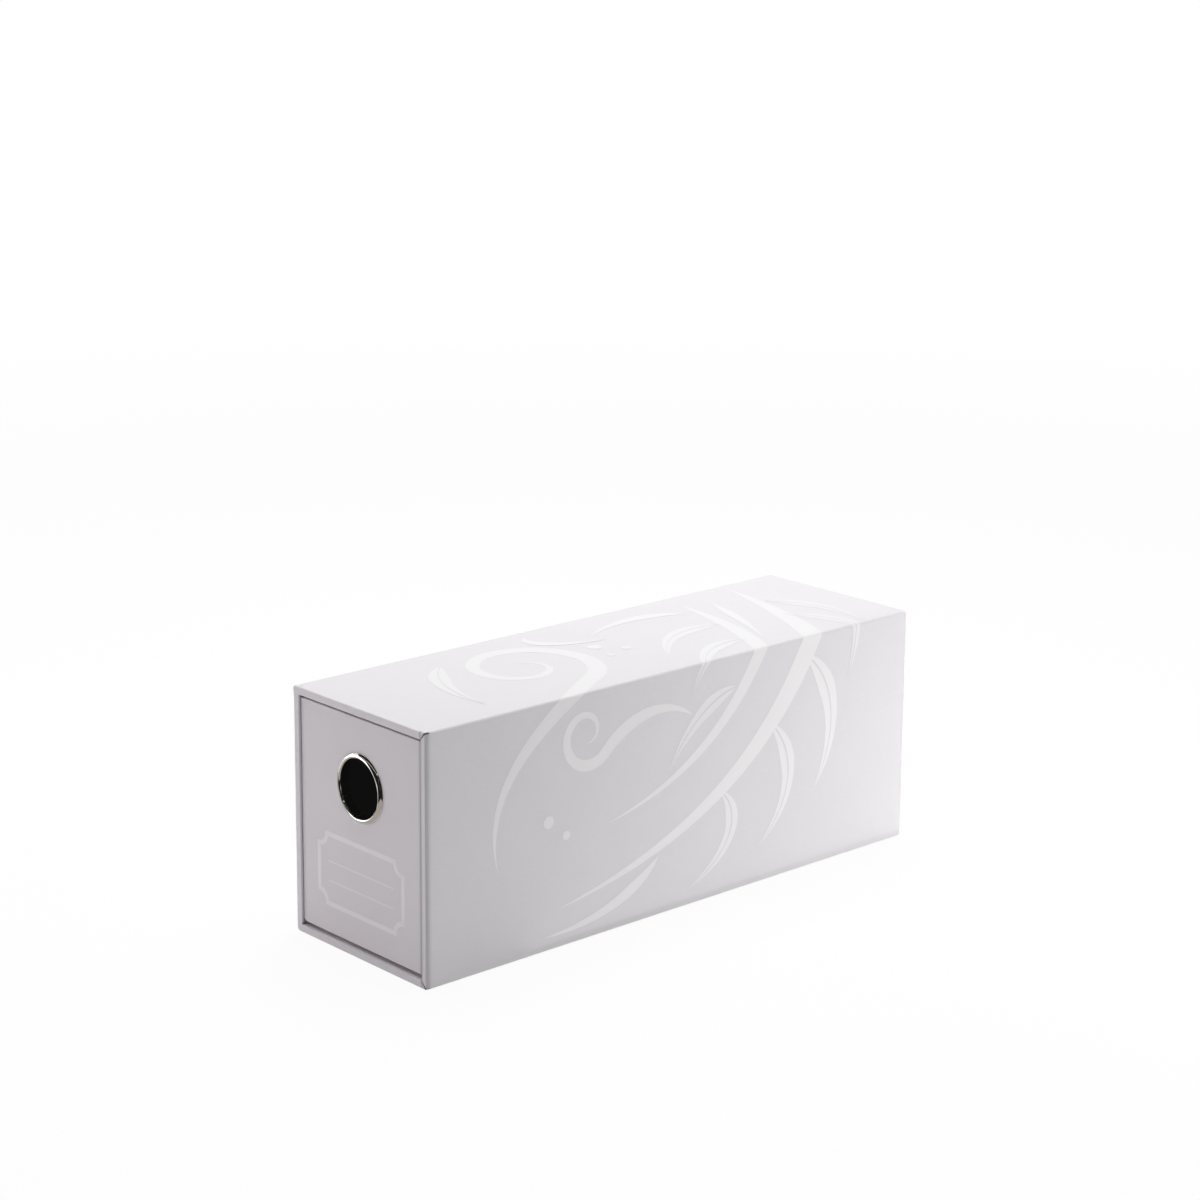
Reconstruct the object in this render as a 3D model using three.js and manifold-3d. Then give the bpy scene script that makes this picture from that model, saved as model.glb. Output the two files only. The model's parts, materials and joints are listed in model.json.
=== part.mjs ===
// Trading card drawer box.
// A sleeve of paper-wrapped greyboard, closed at the back, holds a long drawer that slides out
// of its front. A metal eyelet in the drawer front takes the finger that pulls it.
// Millimetres, +Z up. The front faces -Y and the origin lies on the ground under the middle.

import * as THREE from 'three';
import { RoundedBoxGeometry } from 'three/addons/geometries/RoundedBoxGeometry.js';
import { mergeVertices } from 'three/addons/utils/BufferGeometryUtils.js';
import Module from 'manifold-3d';

const wasm = await Module();
wasm.setup();

// Driving dimensions: the closed box
const boxWidth = 89.6;
const boxDepth = 288;
const boxHeight = 110.6;

// Board and paper stock
const sleeveBoard = 3;
const drawerBoard = 2;
const wrapPaper = 0.15;
const stayPaper = 0.12;
const liningPaper = 0.15;
const coverSheet = 0.15;
const glueLine = 0.02;

// Rounding of the board's outer edges, and how much tighter each paper folds over it
const boardEdgeRadius = 1.3;
const foldEase = 0.2;

// How far the papers turn over the edges of the boards
const rimTurnIn = 15;
const backFlap = 14;
const underFlap = 14;
const coverSheetInset = 2;
const rimLiningSetback = 4;
const drawerTurnIn = 15;
const drawerLiningSetback = 3;

// Corner stays: paper tapes folded along the corners of the boards
const stayLeg = 12;
const stayEndInset = 3;

// Running clearances of the drawer in the sleeve
const drawerRecess = 1.25;
const drawerSideGap = 0.3;
const drawerFloorGap = 1.1;
const drawerHeadGap = 1.2;
const drawerStopGap = 0.35;

// Eyelet in the drawer front
const eyeletDrop = 30.13;
const eyeletBoreRadius = 12.65;
const eyeletFlangeWidth = 2.75;
const eyeletBeadHeight = 1.1;
const eyeletBarrelWall = 0.35;
const eyeletHoleClearance = 0.3;
const eyeletCurlWidth = 1;
const eyeletCurlHeight = 0.8;
const washerThickness = 0.5;
const washerBoreClearance = 0.1;

// How far a cutting solid runs past what it cuts
const cutOverrun = 1;

// Smoothness of the rounded forms
const edgeSegments = 3;
const stayArcSegments = 4;
const eyeletSegments = 48;
const beadSegments = 8;
const curlSegments = 6;

// Finishes
const printedPaper = { color: 0xe3e2e7, roughness: 0.62, metalness: 0 };
const plainPaper = { color: 0xdedde1, roughness: 0.75, metalness: 0 };
const greyboard = { color: 0x9c958b, roughness: 0.92, metalness: 0 };
const kraftTape = { color: 0xb28f66, roughness: 0.85, metalness: 0 };
const blackPaper = { color: 0x151417, roughness: 0.8, metalness: 0 };
const nickel = { color: 0xc9c5be, roughness: 0.12, metalness: 1 };

// Each side of a box, as the corner and the axis that hold it
const sides = {
  left: ['min', 'x'],
  right: ['max', 'x'],
  front: ['min', 'y'],
  back: ['max', 'y'],
  floor: ['min', 'z'],
  roof: ['max', 'z'],
};

function place(box, side) {
  const [corner, axis] = sides[side];
  return box[corner][axis];
}

// A copy of a box with some of its sides put elsewhere
function withSides(box, places) {
  const changed = box.clone();
  for (const [side, value] of Object.entries(places)) {
    const [corner, axis] = sides[side];
    changed[corner][axis] = value;
  }
  return changed;
}

// A copy of a box with every side brought in by one amount
function inset(box, amount) {
  return box.clone().expandByScalar(-amount);
}

function solidOf(geometry) {
  const bare = geometry.clone();
  bare.deleteAttribute('normal');
  bare.deleteAttribute('uv');
  const merged = mergeVertices(bare);
  return new wasm.Manifold(new wasm.Mesh({
    numProp: 3,
    vertProperties: new Float32Array(merged.attributes.position.array),
    triVerts: new Uint32Array(merged.index.array),
  }));
}

function boxSolid(box) {
  const size = box.getSize(new THREE.Vector3());
  const middle = box.getCenter(new THREE.Vector3());
  const geometry = new THREE.BoxGeometry(size.x, size.y, size.z);
  return solidOf(geometry.translate(middle.x, middle.y, middle.z));
}

function roundedSolid(box, radius) {
  const size = box.getSize(new THREE.Vector3());
  const middle = box.getCenter(new THREE.Vector3());
  const geometry = new RoundedBoxGeometry(size.x, size.y, size.z, edgeSegments, radius);
  return solidOf(geometry.translate(middle.x, middle.y, middle.z));
}

function geometryOf(solid) {
  const { vertProperties, triVerts } = solid.getMesh();
  const shared = new THREE.BufferGeometry();
  shared.setAttribute('position', new THREE.BufferAttribute(vertProperties, 3));
  shared.setIndex(new THREE.BufferAttribute(triVerts, 1));
  const faceted = shared.toNonIndexed();
  faceted.computeVertexNormals();
  return faceted;
}

function piece(name, geometry, finish) {
  const mesh = new THREE.Mesh(geometry, new THREE.MeshStandardMaterial(finish));
  mesh.name = name;
  return mesh;
}

function solidPiece(name, solid, finish) {
  return piece(name, geometryOf(solid), finish);
}

// The layers of a wrapped board case, from its outer face inwards
function caseLayers(outer, board) {
  const underWrap = inset(outer, wrapPaper);
  const boards = inset(underWrap, stayPaper + 2 * glueLine);
  const inside = inset(boards, board);
  const turnedIn = inset(inside, wrapPaper);
  const lined = inset(turnedIn, liningPaper);
  return { outer, underWrap, boards, inside, turnedIn, lined };
}

const stayInnerRadius = boardEdgeRadius - foldEase;
const stayOuterRadius = stayInnerRadius + stayPaper;
const wrapInnerRadius = stayOuterRadius - foldEase;
const wrapOuterRadius = wrapInnerRadius + wrapPaper;

// One board panel: the case's rounded block of board, cut down to the given sides
function boardPanel(layers, places) {
  const stock = inset(layers.boards, -cutOverrun);
  const block = roundedSolid(layers.boards, boardEdgeRadius);
  return block.intersect(boxSolid(withSides(stock, places)));
}

// The hollow skin that a wrap makes all round a case, before its openings are cut
function wrapSkin(layers) {
  const outer = roundedSolid(layers.outer, wrapOuterRadius);
  return outer.subtract(roundedSolid(layers.underWrap, wrapInnerRadius));
}

// One corner stay: a folded strip with its outer corner on the Z axis and its legs along
// -X and -Y
function cornerStayGeometry(length) {
  const bend = -stayOuterRadius;
  const profile = new THREE.Shape();
  profile.moveTo(0, -stayLeg);
  profile.lineTo(0, bend);
  profile.absarc(bend, bend, stayOuterRadius, 0, Math.PI / 2, false);
  profile.lineTo(-stayLeg, 0);
  profile.lineTo(-stayLeg, -stayPaper);
  profile.lineTo(bend, -stayPaper);
  profile.absarc(bend, bend, stayInnerRadius, Math.PI / 2, 0, true);
  profile.lineTo(-stayPaper, -stayLeg);
  profile.closePath();
  return new THREE.ExtrudeGeometry(profile, {
    depth: length,
    steps: 1,
    bevelEnabled: false,
    curveSegments: stayArcSegments,
  });
}

// Four stays on the long corners of a rectangle that is centred on the group's Z axis
function cornerStays(prefix, names, width, height, length) {
  const group = new THREE.Group();
  const geometry = cornerStayGeometry(length);
  const corners = [[1, 1], [-1, 1], [-1, -1], [1, -1]];
  corners.forEach(([across, up], quarter) => {
    const stay = piece(`${prefix}_${names[quarter]}`, geometry, kraftTape);
    stay.rotation.z = quarter * Math.PI / 2;
    stay.position.set(across * width / 2, up * height / 2, 0);
    group.add(stay);
  });
  return group;
}

// Sleeve: its outer box leaves room for the cover sheets under the base and on the back
const sleeveOuter = new THREE.Box3(
  new THREE.Vector3(-boxWidth / 2, -boxDepth / 2, coverSheet),
  new THREE.Vector3(boxWidth / 2, boxDepth / 2 - coverSheet, boxHeight),
);
const sleeve = caseLayers(sleeveOuter, sleeveBoard);

function sleeveBoards() {
  const left = place(sleeve.inside, 'left');
  const right = place(sleeve.inside, 'right');
  const back = place(sleeve.inside, 'back');
  const floor = place(sleeve.inside, 'floor');
  const roof = place(sleeve.inside, 'roof');
  const cuts = {
    sleeve_left_board: { right: left },
    sleeve_right_board: { left: right },
    sleeve_top_board: { left, right, floor: roof },
    sleeve_bottom_board: { left, right, roof: floor },
    sleeve_back_board: { left, right, floor, roof, front: back },
  };
  return Object.entries(cuts).map(
    ([name, places]) => solidPiece(name, boardPanel(sleeve, places), greyboard),
  );
}

// The mouth that the drawer enters, from ahead of the rim to the back board
function sleeveMouth(section) {
  return withSides(section, {
    front: place(sleeve.outer, 'front') - cutOverrun,
    back: place(sleeve.inside, 'back'),
  });
}

function sleeveWrap() {
  const { outer } = sleeve;
  const mouth = boxSolid(sleeveMouth(sleeve.turnedIn));
  const turnIn = boxSolid(withSides(sleeve.inside, {
    front: place(outer, 'front') + wrapPaper / 2,
    back: place(outer, 'front') + rimTurnIn,
  }));
  const baseWindow = boxSolid(withSides(inset(outer, underFlap), {
    floor: place(outer, 'floor') - cutOverrun,
    roof: place(outer, 'floor') + cutOverrun,
  }));
  const backWindow = boxSolid(withSides(inset(outer, backFlap), {
    front: place(outer, 'back') - cutOverrun,
    back: place(outer, 'back') + cutOverrun,
  }));
  const skin = wrapSkin(sleeve).subtract(baseWindow).subtract(backWindow);
  return solidPiece('sleeve_wrap', skin.add(turnIn).subtract(mouth), printedPaper);
}

function baseSheet() {
  const sheet = withSides(inset(sleeve.outer, coverSheetInset), {
    floor: 0,
    roof: coverSheet,
  });
  return solidPiece('sleeve_base_sheet', boxSolid(sheet), plainPaper);
}

function backSheet() {
  const sheet = withSides(inset(sleeve.outer, coverSheetInset), {
    front: place(sleeve.outer, 'back'),
    back: place(sleeve.outer, 'back') + coverSheet,
  });
  return solidPiece('sleeve_back_sheet', boxSolid(sheet), plainPaper);
}

function sleeveLining() {
  const walls = boxSolid(withSides(sleeve.turnedIn, {
    front: place(sleeve.outer, 'front') + rimLiningSetback,
    back: place(sleeve.inside, 'back'),
  }));
  const hollow = withSides(sleeveMouth(sleeve.lined), {
    back: place(sleeve.inside, 'back') + cutOverrun,
  });
  return solidPiece('sleeve_lining', walls.subtract(boxSolid(hollow)), blackPaper);
}

const backLiningFace = place(sleeve.inside, 'back') - liningPaper;

function sleeveBackLining() {
  const sheet = withSides(sleeve.lined, {
    front: backLiningFace,
    back: place(sleeve.inside, 'back'),
  });
  return solidPiece('sleeve_back_lining', boxSolid(sheet), blackPaper);
}

// Stays on the four corners that run from the rim to the back
function sleeveStays() {
  const around = inset(sleeve.underWrap, glueLine);
  const size = around.getSize(new THREE.Vector3());
  const middle = around.getCenter(new THREE.Vector3());
  const names = ['top_right', 'top_left', 'bottom_left', 'bottom_right'];
  const length = size.y - 2 * stayEndInset;
  const stays = cornerStays('sleeve_stay', names, size.x, size.z, length);
  stays.rotation.x = Math.PI / 2;
  stays.position.set(middle.x, middle.y + length / 2, middle.z);
  return stays;
}

// Drawer: it is built with its front face on y = 0 and its underside on z = 0
const bay = sleeve.lined.getSize(new THREE.Vector3());
const drawerWidth = bay.x - 2 * drawerSideGap;
const drawerHeight = bay.z - drawerFloorGap - drawerHeadGap;
const drawerFrontPlace = place(sleeve.outer, 'front') + drawerRecess;
const drawerDepth = backLiningFace - drawerStopGap - drawerFrontPlace;
const drawer = caseLayers(new THREE.Box3(
  new THREE.Vector3(-drawerWidth / 2, 0, 0),
  new THREE.Vector3(drawerWidth / 2, drawerDepth, drawerHeight),
), drawerBoard);

const barrelRadius = eyeletBoreRadius + eyeletBarrelWall;
const flangeRadius = eyeletBoreRadius + eyeletFlangeWidth;
const frontThickness = place(drawer.lined, 'front');
const eyeletHeight = drawerHeight - eyeletDrop;

// The hole for the eyelet's barrel, through every layer of the drawer front
function eyeletHole() {
  const radius = barrelRadius + eyeletHoleClearance;
  const length = frontThickness + 2 * cutOverrun;
  const cutter = new THREE.CylinderGeometry(radius, radius, length, eyeletSegments);
  return solidOf(cutter.translate(0, frontThickness / 2, eyeletHeight));
}

function drawerBoards() {
  const left = place(drawer.inside, 'left');
  const right = place(drawer.inside, 'right');
  const front = place(drawer.inside, 'front');
  const back = place(drawer.inside, 'back');
  const floor = place(drawer.inside, 'floor');
  const cuts = {
    drawer_back_board: { front: back },
    drawer_left_board: { right: left, front, back },
    drawer_right_board: { left: right, front, back },
    drawer_bottom_board: { left, right, front, back, roof: floor },
  };
  const panels = Object.entries(cuts).map(
    ([name, places]) => solidPiece(name, boardPanel(drawer, places), greyboard),
  );
  const frontPanel = boardPanel(drawer, { back: front }).subtract(eyeletHole());
  return [solidPiece('drawer_front_board', frontPanel, greyboard), ...panels];
}

function drawerWrap() {
  const { outer } = drawer;
  const mouth = boxSolid(withSides(drawer.turnedIn, { roof: place(outer, 'roof') + cutOverrun }));
  const turnIn = boxSolid(withSides(drawer.inside, {
    floor: place(outer, 'roof') - drawerTurnIn,
    roof: place(outer, 'roof') - wrapPaper / 2,
  }));
  const wrap = wrapSkin(drawer).add(turnIn).subtract(mouth).subtract(eyeletHole());
  return solidPiece('drawer_wrap', wrap, printedPaper);
}

function drawerLining() {
  const walls = boxSolid(withSides(drawer.turnedIn, {
    floor: place(drawer.inside, 'floor'),
    roof: place(drawer.outer, 'roof') - drawerLiningSetback,
  }));
  const hollow = boxSolid(withSides(drawer.lined, {
    floor: place(drawer.inside, 'floor') + liningPaper,
    roof: place(drawer.outer, 'roof'),
  }));
  const lining = walls.subtract(hollow).subtract(eyeletHole());
  return solidPiece('drawer_lining', lining, blackPaper);
}

// Stays on the four upright corners
function drawerStays() {
  const around = inset(drawer.underWrap, glueLine);
  const size = around.getSize(new THREE.Vector3());
  const middle = around.getCenter(new THREE.Vector3());
  const names = ['back_right', 'back_left', 'front_left', 'front_right'];
  const length = size.z - 2 * stayEndInset;
  const stays = cornerStays('drawer_stay', names, size.x, size.y, length);
  stays.position.set(middle.x, middle.y, middle.z - length / 2);
  return stays;
}

// Points of a half ellipse from one radius to another, bulging away from a flat seat
function bulge(fromRadius, toRadius, seat, height, segments) {
  const middle = (fromRadius + toRadius) / 2;
  const reach = (fromRadius - toRadius) / 2;
  const points = [];
  for (let i = 0; i <= segments; i += 1) {
    const angle = Math.PI * i / segments;
    const rise = i === segments ? 0 : Math.sin(angle);
    points.push(new THREE.Vector2(middle + reach * Math.cos(angle), seat + height * rise));
  }
  return points;
}

// The eyelet: a domed flange on the front, a barrel, and a lip curled over the washer
function eyeletRing() {
  const washerFace = frontThickness + washerThickness;
  const curlRadius = barrelRadius + eyeletCurlWidth;
  const flange = bulge(flangeRadius, eyeletBoreRadius, 0, -eyeletBeadHeight, beadSegments);
  const curl = bulge(eyeletBoreRadius, curlRadius, washerFace, eyeletCurlHeight, curlSegments);
  const profile = [
    ...flange,
    ...curl,
    new THREE.Vector2(barrelRadius, washerFace),
    new THREE.Vector2(barrelRadius, 0),
    flange[0].clone(),
  ];
  profile.reverse();
  const ring = piece('eyelet_ring', new THREE.LatheGeometry(profile, eyeletSegments), nickel);
  ring.position.z = eyeletHeight;
  return ring;
}

// The washer behind the front is as wide as the flange
function eyeletWasher() {
  const bore = barrelRadius + washerBoreClearance;
  const profile = [
    new THREE.Vector2(bore, 0),
    new THREE.Vector2(flangeRadius, 0),
    new THREE.Vector2(flangeRadius, washerThickness),
    new THREE.Vector2(bore, washerThickness),
    new THREE.Vector2(bore, 0),
  ];
  const washer = piece('eyelet_washer', new THREE.LatheGeometry(profile, eyeletSegments), nickel);
  washer.position.set(0, frontThickness, eyeletHeight);
  return washer;
}

function buildSleeve() {
  const group = new THREE.Group();
  group.add(...sleeveBoards(), sleeveStays(), sleeveWrap(), baseSheet(), backSheet());
  group.add(sleeveLining(), sleeveBackLining());
  return group;
}

function buildDrawer() {
  const group = new THREE.Group();
  group.add(...drawerBoards(), drawerStays(), drawerWrap(), drawerLining());
  group.add(eyeletRing(), eyeletWasher());
  group.position.set(0, drawerFrontPlace, place(sleeve.lined, 'floor') + drawerFloorGap);
  return group;
}

const cardDrawerBox = new THREE.Group();
cardDrawerBox.add(buildSleeve(), buildDrawer());

export default cardDrawerBox;
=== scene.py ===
"""The looks of a trading card drawer box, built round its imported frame.

The papers, the eyelet and the print are modelled here. The boards, the corner tapes, the
linings and the cover sheets are the frame's own solids in new materials.
"""

import json
import logging
import math
from dataclasses import dataclass, field
from enum import Enum
from functools import cache, cached_property
from typing import Any, Callable, Iterable, Optional, Sequence, Union

import bmesh
import bpy
from mathutils import Matrix, Vector


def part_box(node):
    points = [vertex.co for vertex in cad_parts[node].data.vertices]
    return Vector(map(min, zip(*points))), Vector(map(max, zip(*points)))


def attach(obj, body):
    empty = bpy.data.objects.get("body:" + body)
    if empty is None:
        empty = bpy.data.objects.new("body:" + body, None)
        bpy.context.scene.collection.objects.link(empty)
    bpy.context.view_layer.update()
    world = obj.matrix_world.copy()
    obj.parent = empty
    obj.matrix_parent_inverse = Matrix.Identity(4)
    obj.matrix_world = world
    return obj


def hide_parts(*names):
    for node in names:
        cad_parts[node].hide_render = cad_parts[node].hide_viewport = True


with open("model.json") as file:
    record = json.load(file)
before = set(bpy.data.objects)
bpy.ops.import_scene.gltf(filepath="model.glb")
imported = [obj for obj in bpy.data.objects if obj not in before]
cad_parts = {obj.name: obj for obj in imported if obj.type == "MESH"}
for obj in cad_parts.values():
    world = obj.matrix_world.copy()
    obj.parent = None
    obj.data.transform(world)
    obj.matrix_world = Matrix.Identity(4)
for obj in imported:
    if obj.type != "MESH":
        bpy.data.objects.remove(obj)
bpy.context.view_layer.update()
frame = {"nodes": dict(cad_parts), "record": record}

LOG = logging.getLogger("card_drawer_box")

MM = 0.001
PHOTO_SIDE = 1200
SENSOR = 36.0
TOLERANCE = 1e-6
PRINT_MERGE = 0.02 * MM

Colour = tuple[float, float, float, float]
Point = tuple[float, float]
Place = tuple[float, float, float]
Width = Callable[[float], float]
Mesh = bmesh.types.BMesh
Vert = bmesh.types.BMVert
Edge = bmesh.types.BMEdge
Face = bmesh.types.BMFace
Socket = bpy.types.NodeSocket


def mm(value: float) -> float:
    """Turn millimetres into metres."""
    return value * MM


def grey(level: float, tint: Sequence[float] = (1.0, 1.0, 1.0)) -> Colour:
    """Make a linear colour from one level, with a factor for each channel."""
    return (level * tint[0], level * tint[1], level * tint[2], 1.0)


class Shade:
    """A value that runs through a material, with the usual arithmetic."""

    def __init__(self, graph: "Graph", socket: Socket) -> None:
        """Wrap one output socket of a graph."""
        self.graph = graph
        self.socket = socket

    def maths(self, operation: str, *values: Any) -> "Shade":
        """Add a Math node, with numbers or shades as its inputs in order."""
        settings = {"operation": operation}
        return self.graph.value("ShaderNodeMath", settings, dict(enumerate(values)))

    def __add__(self, other: Any) -> "Shade":
        """Add a number or a shade."""
        return self.maths("ADD", self, other)

    def __sub__(self, other: Any) -> "Shade":
        """Take a number or a shade away."""
        return self.maths("SUBTRACT", self, other)

    def __rsub__(self, other: Any) -> "Shade":
        """Take this away from a number or a shade."""
        return self.maths("SUBTRACT", other, self)

    def __mul__(self, other: Any) -> "Shade":
        """Multiply by a number or a shade."""
        return self.maths("MULTIPLY", self, other)

    def __truediv__(self, other: Any) -> "Shade":
        """Divide by a number or a shade."""
        return self.maths("DIVIDE", self, other)

    def __rtruediv__(self, other: Any) -> "Shade":
        """Divide a number or a shade by this."""
        return self.maths("DIVIDE", other, self)

    __radd__ = __add__
    __rmul__ = __mul__

    def larger(self, other: Any) -> "Shade":
        """Keep the larger of this and another value."""
        return self.maths("MAXIMUM", self, other)

    def away(self, middle: float, reach: float) -> "Shade":
        """Give the distance from a value, as a share of a reach."""
        off = self - middle
        return off.maths("ABSOLUTE", off) / reach

    def ramp(self, low: float, high: float) -> "Shade":
        """Stretch the span from low to high to 0 to 1, with soft ends."""
        inputs = {"Value": self, "From Min": low, "From Max": high}
        return self.graph.value("ShaderNodeMapRange", {"interpolation_type": "SMOOTHSTEP"}, inputs)


class Graph:
    """The node graph of one material or world."""

    def __init__(self, owner: Union[bpy.types.Material, bpy.types.World]) -> None:
        """Empty the owner's node tree and keep it.

        Args:
            owner: The material or the world.
        """
        owner.use_nodes = True
        self.owner = owner
        self.tree = owner.node_tree
        self.tree.nodes.clear()

    def node(
        self, kind: str, settings: Optional[dict] = None, inputs: Optional[dict] = None
    ) -> bpy.types.Node:
        """Add a node.

        Args:
            kind: The node's type.
            settings: Its properties.
            inputs: Values or links of its sockets, by name or index.

        Returns:
            The new node.
        """
        made = self.tree.nodes.new(kind)
        for name, value in (settings or {}).items():
            setattr(made, name, value)
        for key, value in (inputs or {}).items():
            source = value.socket if isinstance(value, Shade) else value
            if isinstance(source, Socket):
                self.tree.links.new(source, made.inputs[key])
            else:
                made.inputs[key].default_value = source
        return made

    def value(self, kind: str, settings: dict, inputs: dict) -> Shade:
        """Add a node and give its first output."""
        return Shade(self, self.node(kind, settings, inputs).outputs[0])

    @cached_property
    def where(self) -> Socket:
        """The object's own coordinates, in metres."""
        return self.node("ShaderNodeTexCoord").outputs["Object"]

    @cached_property
    def axes(self) -> list[Shade]:
        """The coordinates' three values."""
        split = self.node("ShaderNodeSeparateXYZ", {}, {0: self.where})
        return [Shade(self, socket) for socket in split.outputs]

    def mix(self, share: Any, first: Any, second: Any) -> Socket:
        """Mix two colours by a share of the second."""
        settings = {"data_type": "RGBA", "blend_type": "MIX"}
        return self.node("ShaderNodeMix", settings, {0: share, 6: first, 7: second}).outputs[2]

    def bump(self, height: Shade, depth: float, strength: float) -> Shade:
        """Turn a height from 0 to 1 into a bumped normal, of a depth in metres."""
        inputs = {"Strength": strength, "Distance": depth, "Height": height}
        return self.value("ShaderNodeBump", {}, inputs)

    def blend(self, share: Shade, first: bpy.types.Node, second: bpy.types.Node) -> bpy.types.Node:
        """Mix two shaders by a share of the second."""
        inputs = {0: share, 1: first.outputs[0], 2: second.outputs[0]}
        return self.node("ShaderNodeMixShader", {}, inputs)

    def close(self, shader: bpy.types.Node) -> None:
        """Join a shader to the output."""
        kind = "World" if isinstance(self.owner, bpy.types.World) else "Material"
        self.node(f"ShaderNodeOutput{kind}", {}, {"Surface": shader.outputs[0]})


@dataclass(frozen=True)
class Pattern:
    """A noise, by its cells per metre, its octaves and its stretch along the box."""

    scale: float
    detail: float
    stretch: float = 1.0
    roughness: float = 0.55

    def noise(self, graph: Graph) -> Shade:
        """Add the pattern to a graph.

        Args:
            graph: The material's graph.

        Returns:
            The noise, round 0.5.
        """
        place = {"Vector": graph.where, "Scale": (1.0, 1.0 / self.stretch, 1.0)}
        mapped = graph.value("ShaderNodeMapping", {"vector_type": "POINT"}, place)
        inputs = {"Vector": mapped, "Scale": self.scale}
        inputs |= {"Detail": self.detail, "Roughness": self.roughness}
        return graph.value("ShaderNodeTexNoise", {"noise_dimensions": "3D"}, inputs)


@dataclass(frozen=True)
class PaintedEdgeShade:
    """A soft darker line painted along an edge: painted shade, where shadow and the edge's turn
    darken it.
    """

    place: Point
    reach: Point
    depth: float
    axes: tuple[int, int] = (0, 1)

    def mask(self, graph: Graph) -> Shade:
        """Build the painted shade's mask.

        Args:
            graph: The material's graph.

        Returns:
            The painted shade's strength, greatest at the edge.
        """
        sides = zip(self.axes, self.place, self.reach)
        across, along = (graph.axes[axis].away(place, reach) for axis, place, reach in sides)
        rest = (1.0 - across.larger(along)).larger(0.0)
        return rest * rest * self.depth


@dataclass(frozen=True)
class Finish:
    """A finish, as the inputs of one surface shader."""

    name: str

    def inputs(self, graph: Graph) -> dict[str, Any]:
        """Give the shader's inputs."""
        raise NotImplementedError

    @cache
    def material(self) -> bpy.types.Material:
        """Build the finish's material once.

        Returns:
            The material.
        """
        made = bpy.data.materials.new(self.name)
        graph = Graph(made)
        graph.close(graph.node("ShaderNodeBsdfPrincipled", {}, self.inputs(graph)))
        return made


@dataclass(frozen=True)
class PaperFinish(Finish):
    """A matt paper: fibres, a slight clouding and a fine tooth, with painted shade and glow where
    asked.
    """

    colour: Colour
    clouded: Colour
    fibred: Colour
    roughness: float = 0.62
    roughness_spread: float = 0.12
    tooth: float = mm(0.018)
    tooth_strength: float = 0.35
    clouds: Pattern = Pattern(22.0, 3.0)
    cloud_span: Point = (0.3, 0.7)
    grain: Pattern = Pattern(2600.0, 4.0, 1.6)
    grain_span: Point = (0.35, 0.75)
    grain_share: float = 0.6
    fibres: Pattern = Pattern(650.0, 5.0, 3.0)
    fibre_span: Point = (0.5, 0.8)
    specular: float = 0.32
    # painted shade: soft darker lines mixed into the paper's colour along edges and gaps, where
    # shade falls
    wear_marks_and_painted_shade: tuple[PaintedEdgeShade, ...] = ()
    # the colour of that painted shade
    painted_shade_colour: Colour = (0.03, 0.028, 0.028, 1.0)
    # painted glow: a faint emission that stands in for light reaching dark hollows
    painted_glow: float = 0.0
    # painted shade: a darker colour on the top face, over the height span below
    painted_top_shade: Optional[Colour] = None
    painted_top_shade_span: Point = (mm(110.0), mm(110.6))

    def inputs(self, graph: Graph) -> dict[str, Any]:
        """Give the paper's shader inputs.

        Args:
            graph: The material's graph.

        Returns:
            The inputs by name.
        """
        clouds = self.clouds.noise(graph)
        grain = self.grain.noise(graph)
        fibres = self.fibres.noise(graph)
        base = graph.mix(clouds.ramp(*self.cloud_span), self.colour, self.clouded)
        pale = (grain.ramp(*self.grain_span) + fibres.ramp(*self.fibre_span)) * 0.5
        base = graph.mix(pale, base, self.fibred)
        # painted shade along edges and gaps, mixed into the colour
        for painted_shade in self.wear_marks_and_painted_shade:
            base = graph.mix(painted_shade.mask(graph), base, self.painted_shade_colour)
        # painted shade: the top face darker
        if self.painted_top_shade:
            base = graph.mix(graph.axes[2].ramp(*self.painted_top_shade_span), base, self.painted_top_shade)
        height = grain * self.grain_share + fibres * (1.0 - self.grain_share)
        return {
            "Base Color": base,
            "Roughness": (fibres - 0.5) * self.roughness_spread + self.roughness,
            "Specular IOR Level": self.specular,
            "Normal": graph.bump(height, self.tooth, self.tooth_strength),
            # painted glow, where the finish asks for it
            "Emission Color": grey(self.painted_glow),
            "Emission Strength": 1.0 if self.painted_glow else 0.0,
        }


@dataclass(frozen=True)
class BoardFinish(Finish):
    """Raw greyboard: mottled pulp with dark and light flecks."""

    colour: Colour
    dark: Colour
    light: Colour
    pulp: Pattern = Pattern(180.0, 4.0, 2.0)
    pulp_span: Point = (0.35, 0.65)
    pulp_depth: float = mm(0.05)
    pulp_strength: float = 0.5
    flecks: Pattern = Pattern(900.0, 2.0)
    fleck_span: Point = (0.62, 0.72)
    roughness: float = 0.9
    roughness_spread: float = 0.1
    specular: float = 0.2

    def inputs(self, graph: Graph) -> dict[str, Any]:
        """Give the board's shader inputs.

        Args:
            graph: The material's graph.

        Returns:
            The inputs by name.
        """
        pulp = self.pulp.noise(graph)
        flecks = self.flecks.noise(graph)
        base = graph.mix(pulp.ramp(*self.pulp_span), self.colour, self.dark)
        return {
            "Base Color": graph.mix(flecks.ramp(*self.fleck_span), base, self.light),
            "Roughness": self.roughness + (pulp - 0.5) * self.roughness_spread,
            "Specular IOR Level": self.specular,
            "Normal": graph.bump(pulp, self.pulp_depth, self.pulp_strength),
        }


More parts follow.
